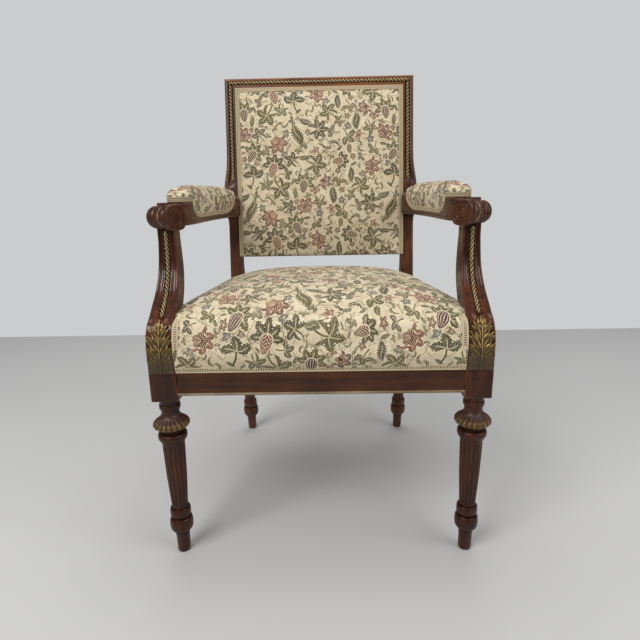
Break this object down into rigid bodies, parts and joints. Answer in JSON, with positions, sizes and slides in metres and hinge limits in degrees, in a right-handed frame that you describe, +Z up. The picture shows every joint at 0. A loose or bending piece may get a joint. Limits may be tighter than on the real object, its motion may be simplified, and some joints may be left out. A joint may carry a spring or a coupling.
{
  "type": "open-arm upholstered chair",
  "caption": "Neoclassical open-arm chair: turned fluted legs, swept arm supports, carved wood frame with gilt ornament, stuffed tapestry seat, back and arm pads.",
  "frame": {"origin": "on the floor, under the centre of the chair's bounding box", "axes": "+Z up, the chair faces -Y, so +X is the sitter's left"},
  "size_m": [0.6078, 0.5776, 0.945],
  "materials": {
    "walnut": "dark reddish brown, polished, worn lighter on the edges",
    "beech": "plain, unpolished",
    "gilt": "carved and gilded, dulled, dark in the recesses",
    "tapestry": "woven cream ground with an all-over pattern of green leaves and dull red flowers",
    "braid": "narrow cream and olive gimp braid",
    "jute": "coarse woven jute",
    "stuffing": "curled hair",
    "spring_steel": "dull steel wire"
  },
  "bodies": {
    "root": {"left_front_leg": "walnut", "right_front_leg": "walnut", "left_rear_post": "walnut", "right_rear_post": "walnut", "front_seat_rail": "walnut", "rear_seat_rail": "walnut", "left_seat_rail": "walnut", "right_seat_rail": "walnut", "left_front_corner_block": "beech", "right_front_corner_block": "beech", "left_rear_corner_block": "beech", "right_rear_corner_block": "beech", "left_peg": "walnut", "right_peg": "walnut", "left_arm_support": "walnut", "right_arm_support": "walnut", "left_arm": "walnut", "right_arm": "walnut", "crest_rail": "walnut", "lower_back_rail": "beech", "left_acanthus_leaf": "gilt", "right_acanthus_leaf": "gilt", "left_support_rope": "gilt", "right_support_rope": "gilt", "left_stile_rope": "gilt", "right_stile_rope": "gilt", "crest_rope": "gilt", "seat_cross_web_1": "jute", "seat_cross_web_2": "jute", "seat_cross_web_3": "jute", "seat_long_web_1": "jute", "seat_long_web_2": "jute", "seat_long_web_3": "jute", "seat_spring_1": "spring_steel", "seat_spring_2": "spring_steel", "seat_spring_3": "spring_steel", "seat_spring_4": "spring_steel", "seat_spring_5": "spring_steel", "seat_hessian": "jute", "seat_stuffing": "stuffing", "seat_cover": "tapestry", "front_seat_gimp": "braid", "left_side_seat_gimp": "braid", "right_side_seat_gimp": "braid", "rear_seat_gimp": "braid", "back_web_1": "jute", "back_web_2": "jute", "back_web_3": "jute", "back_stuffing": "stuffing", "back_cover": "tapestry", "back_gimp": "braid", "outside_back_cover": "tapestry", "left_arm_pad": "tapestry", "right_arm_pad": "tapestry", "left_arm_gimp": "braid", "right_arm_gimp": "braid"}
  },
  "joints": []
}
